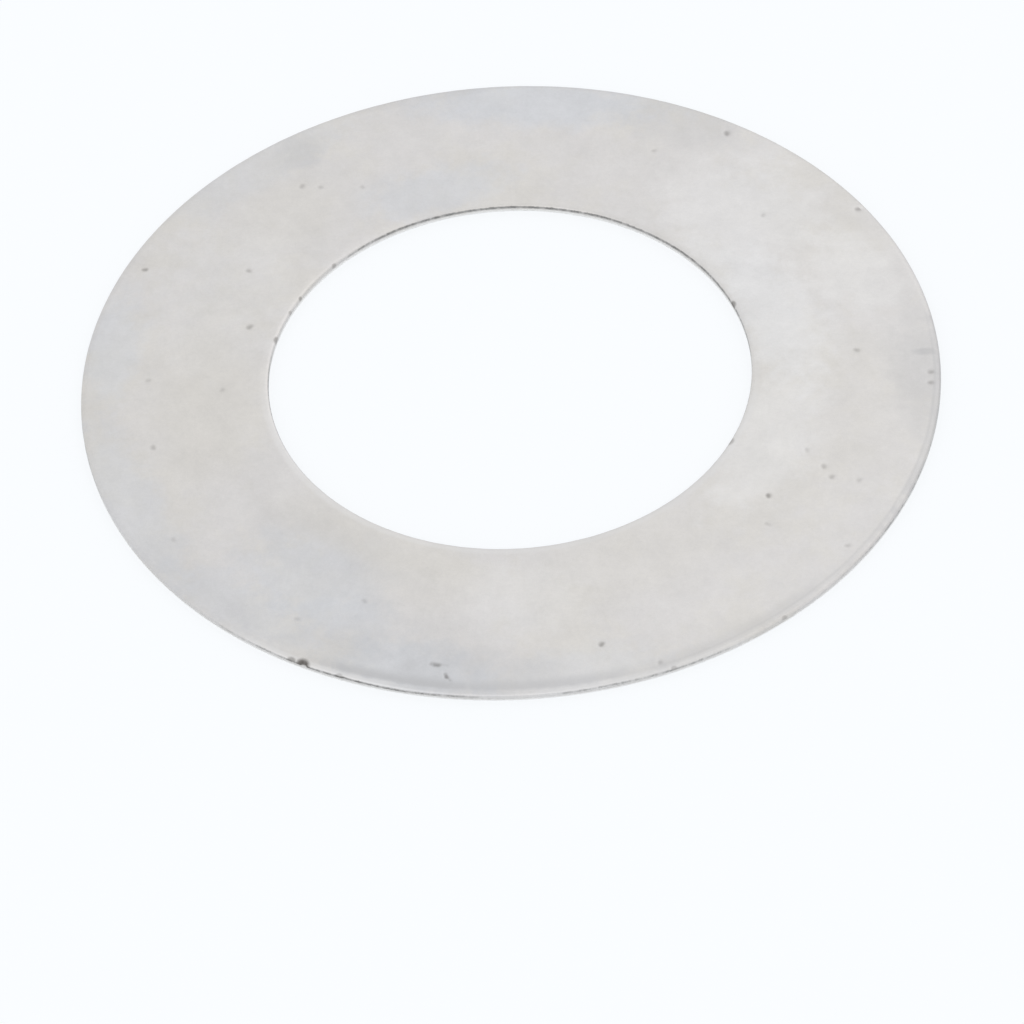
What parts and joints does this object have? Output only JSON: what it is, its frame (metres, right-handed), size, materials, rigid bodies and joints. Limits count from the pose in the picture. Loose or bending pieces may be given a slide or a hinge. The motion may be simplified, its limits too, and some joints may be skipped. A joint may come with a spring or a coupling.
{
  "type": "shim ring",
  "caption": "Flat thin blanked steel shim ring with a wide plain bore, for taking up end play on a pin or shaft.",
  "frame": {"origin": "centre of the ring, on the surface that its burr side lies on", "axes": "+Z along the bore axis, up through the face with the rounded die roll; +X and +Y in the plane of the ring"},
  "size_m": [0.08, 0.08, 0.0008],
  "materials": {
    "bare_steel": "bare cold rolled steel, satin and slightly mottled, with small specks and handling marks"
  },
  "bodies": {
    "root": {"shim_ring": "bare_steel"}
  },
  "joints": []
}
